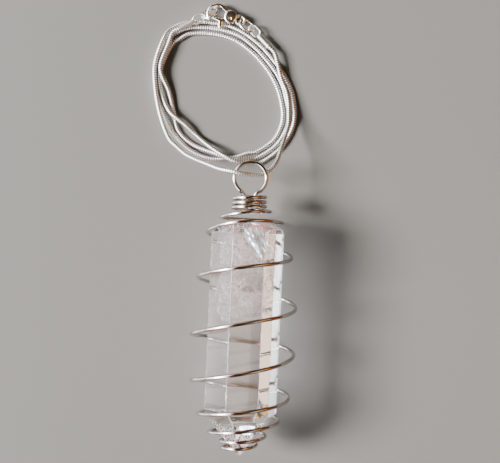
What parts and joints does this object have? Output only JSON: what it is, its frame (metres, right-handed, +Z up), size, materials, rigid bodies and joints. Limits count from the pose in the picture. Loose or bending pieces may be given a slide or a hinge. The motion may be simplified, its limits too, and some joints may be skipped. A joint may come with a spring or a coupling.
{
  "type": "crystal point pendant",
  "caption": "A clear quartz point in a hand-wound spiral wire cage with a round bail loop, on a closed silver snake chain that lies coiled beside it, joined by a lobster clasp.",
  "frame": {"origin": "on the surface that it lies on, under the middle of its box", "axes": "+Z up from the surface, Y along the pendant with the crystal's point towards -Y and the clasp towards +Y, X across"},
  "size_m": [0.0412, 0.1188, 0.0277],
  "materials": {
    "quartz": "natural clear quartz with milky veils, its faces polished",
    "plated_wire": "round silver-plated copper wire, bright drawn",
    "snake_chain": "silver-plated snake chain of fine pressed rings",
    "fittings": "silver-plated brass, barrel polished"
  },
  "bodies": {
    "necklace": {"crystal": "quartz", "cage_wire": "plated_wire", "chain": "snake_chain", "end_cap_left": "fittings", "end_cap_right": "fittings", "jump_ring_left": "fittings", "jump_ring_right": "fittings", "clasp_body": "fittings", "clasp_pin": "fittings"},
    "lever": {"clasp_lever": "fittings"}
  },
  "joints": [
    {"name": "lever", "type": "hinge", "parent": "necklace", "child": "lever", "pos_m": [-0.00033, 0.0552, 0.0022], "axis": [0, 0, -1], "range_deg": [0, 16]}
  ]
}
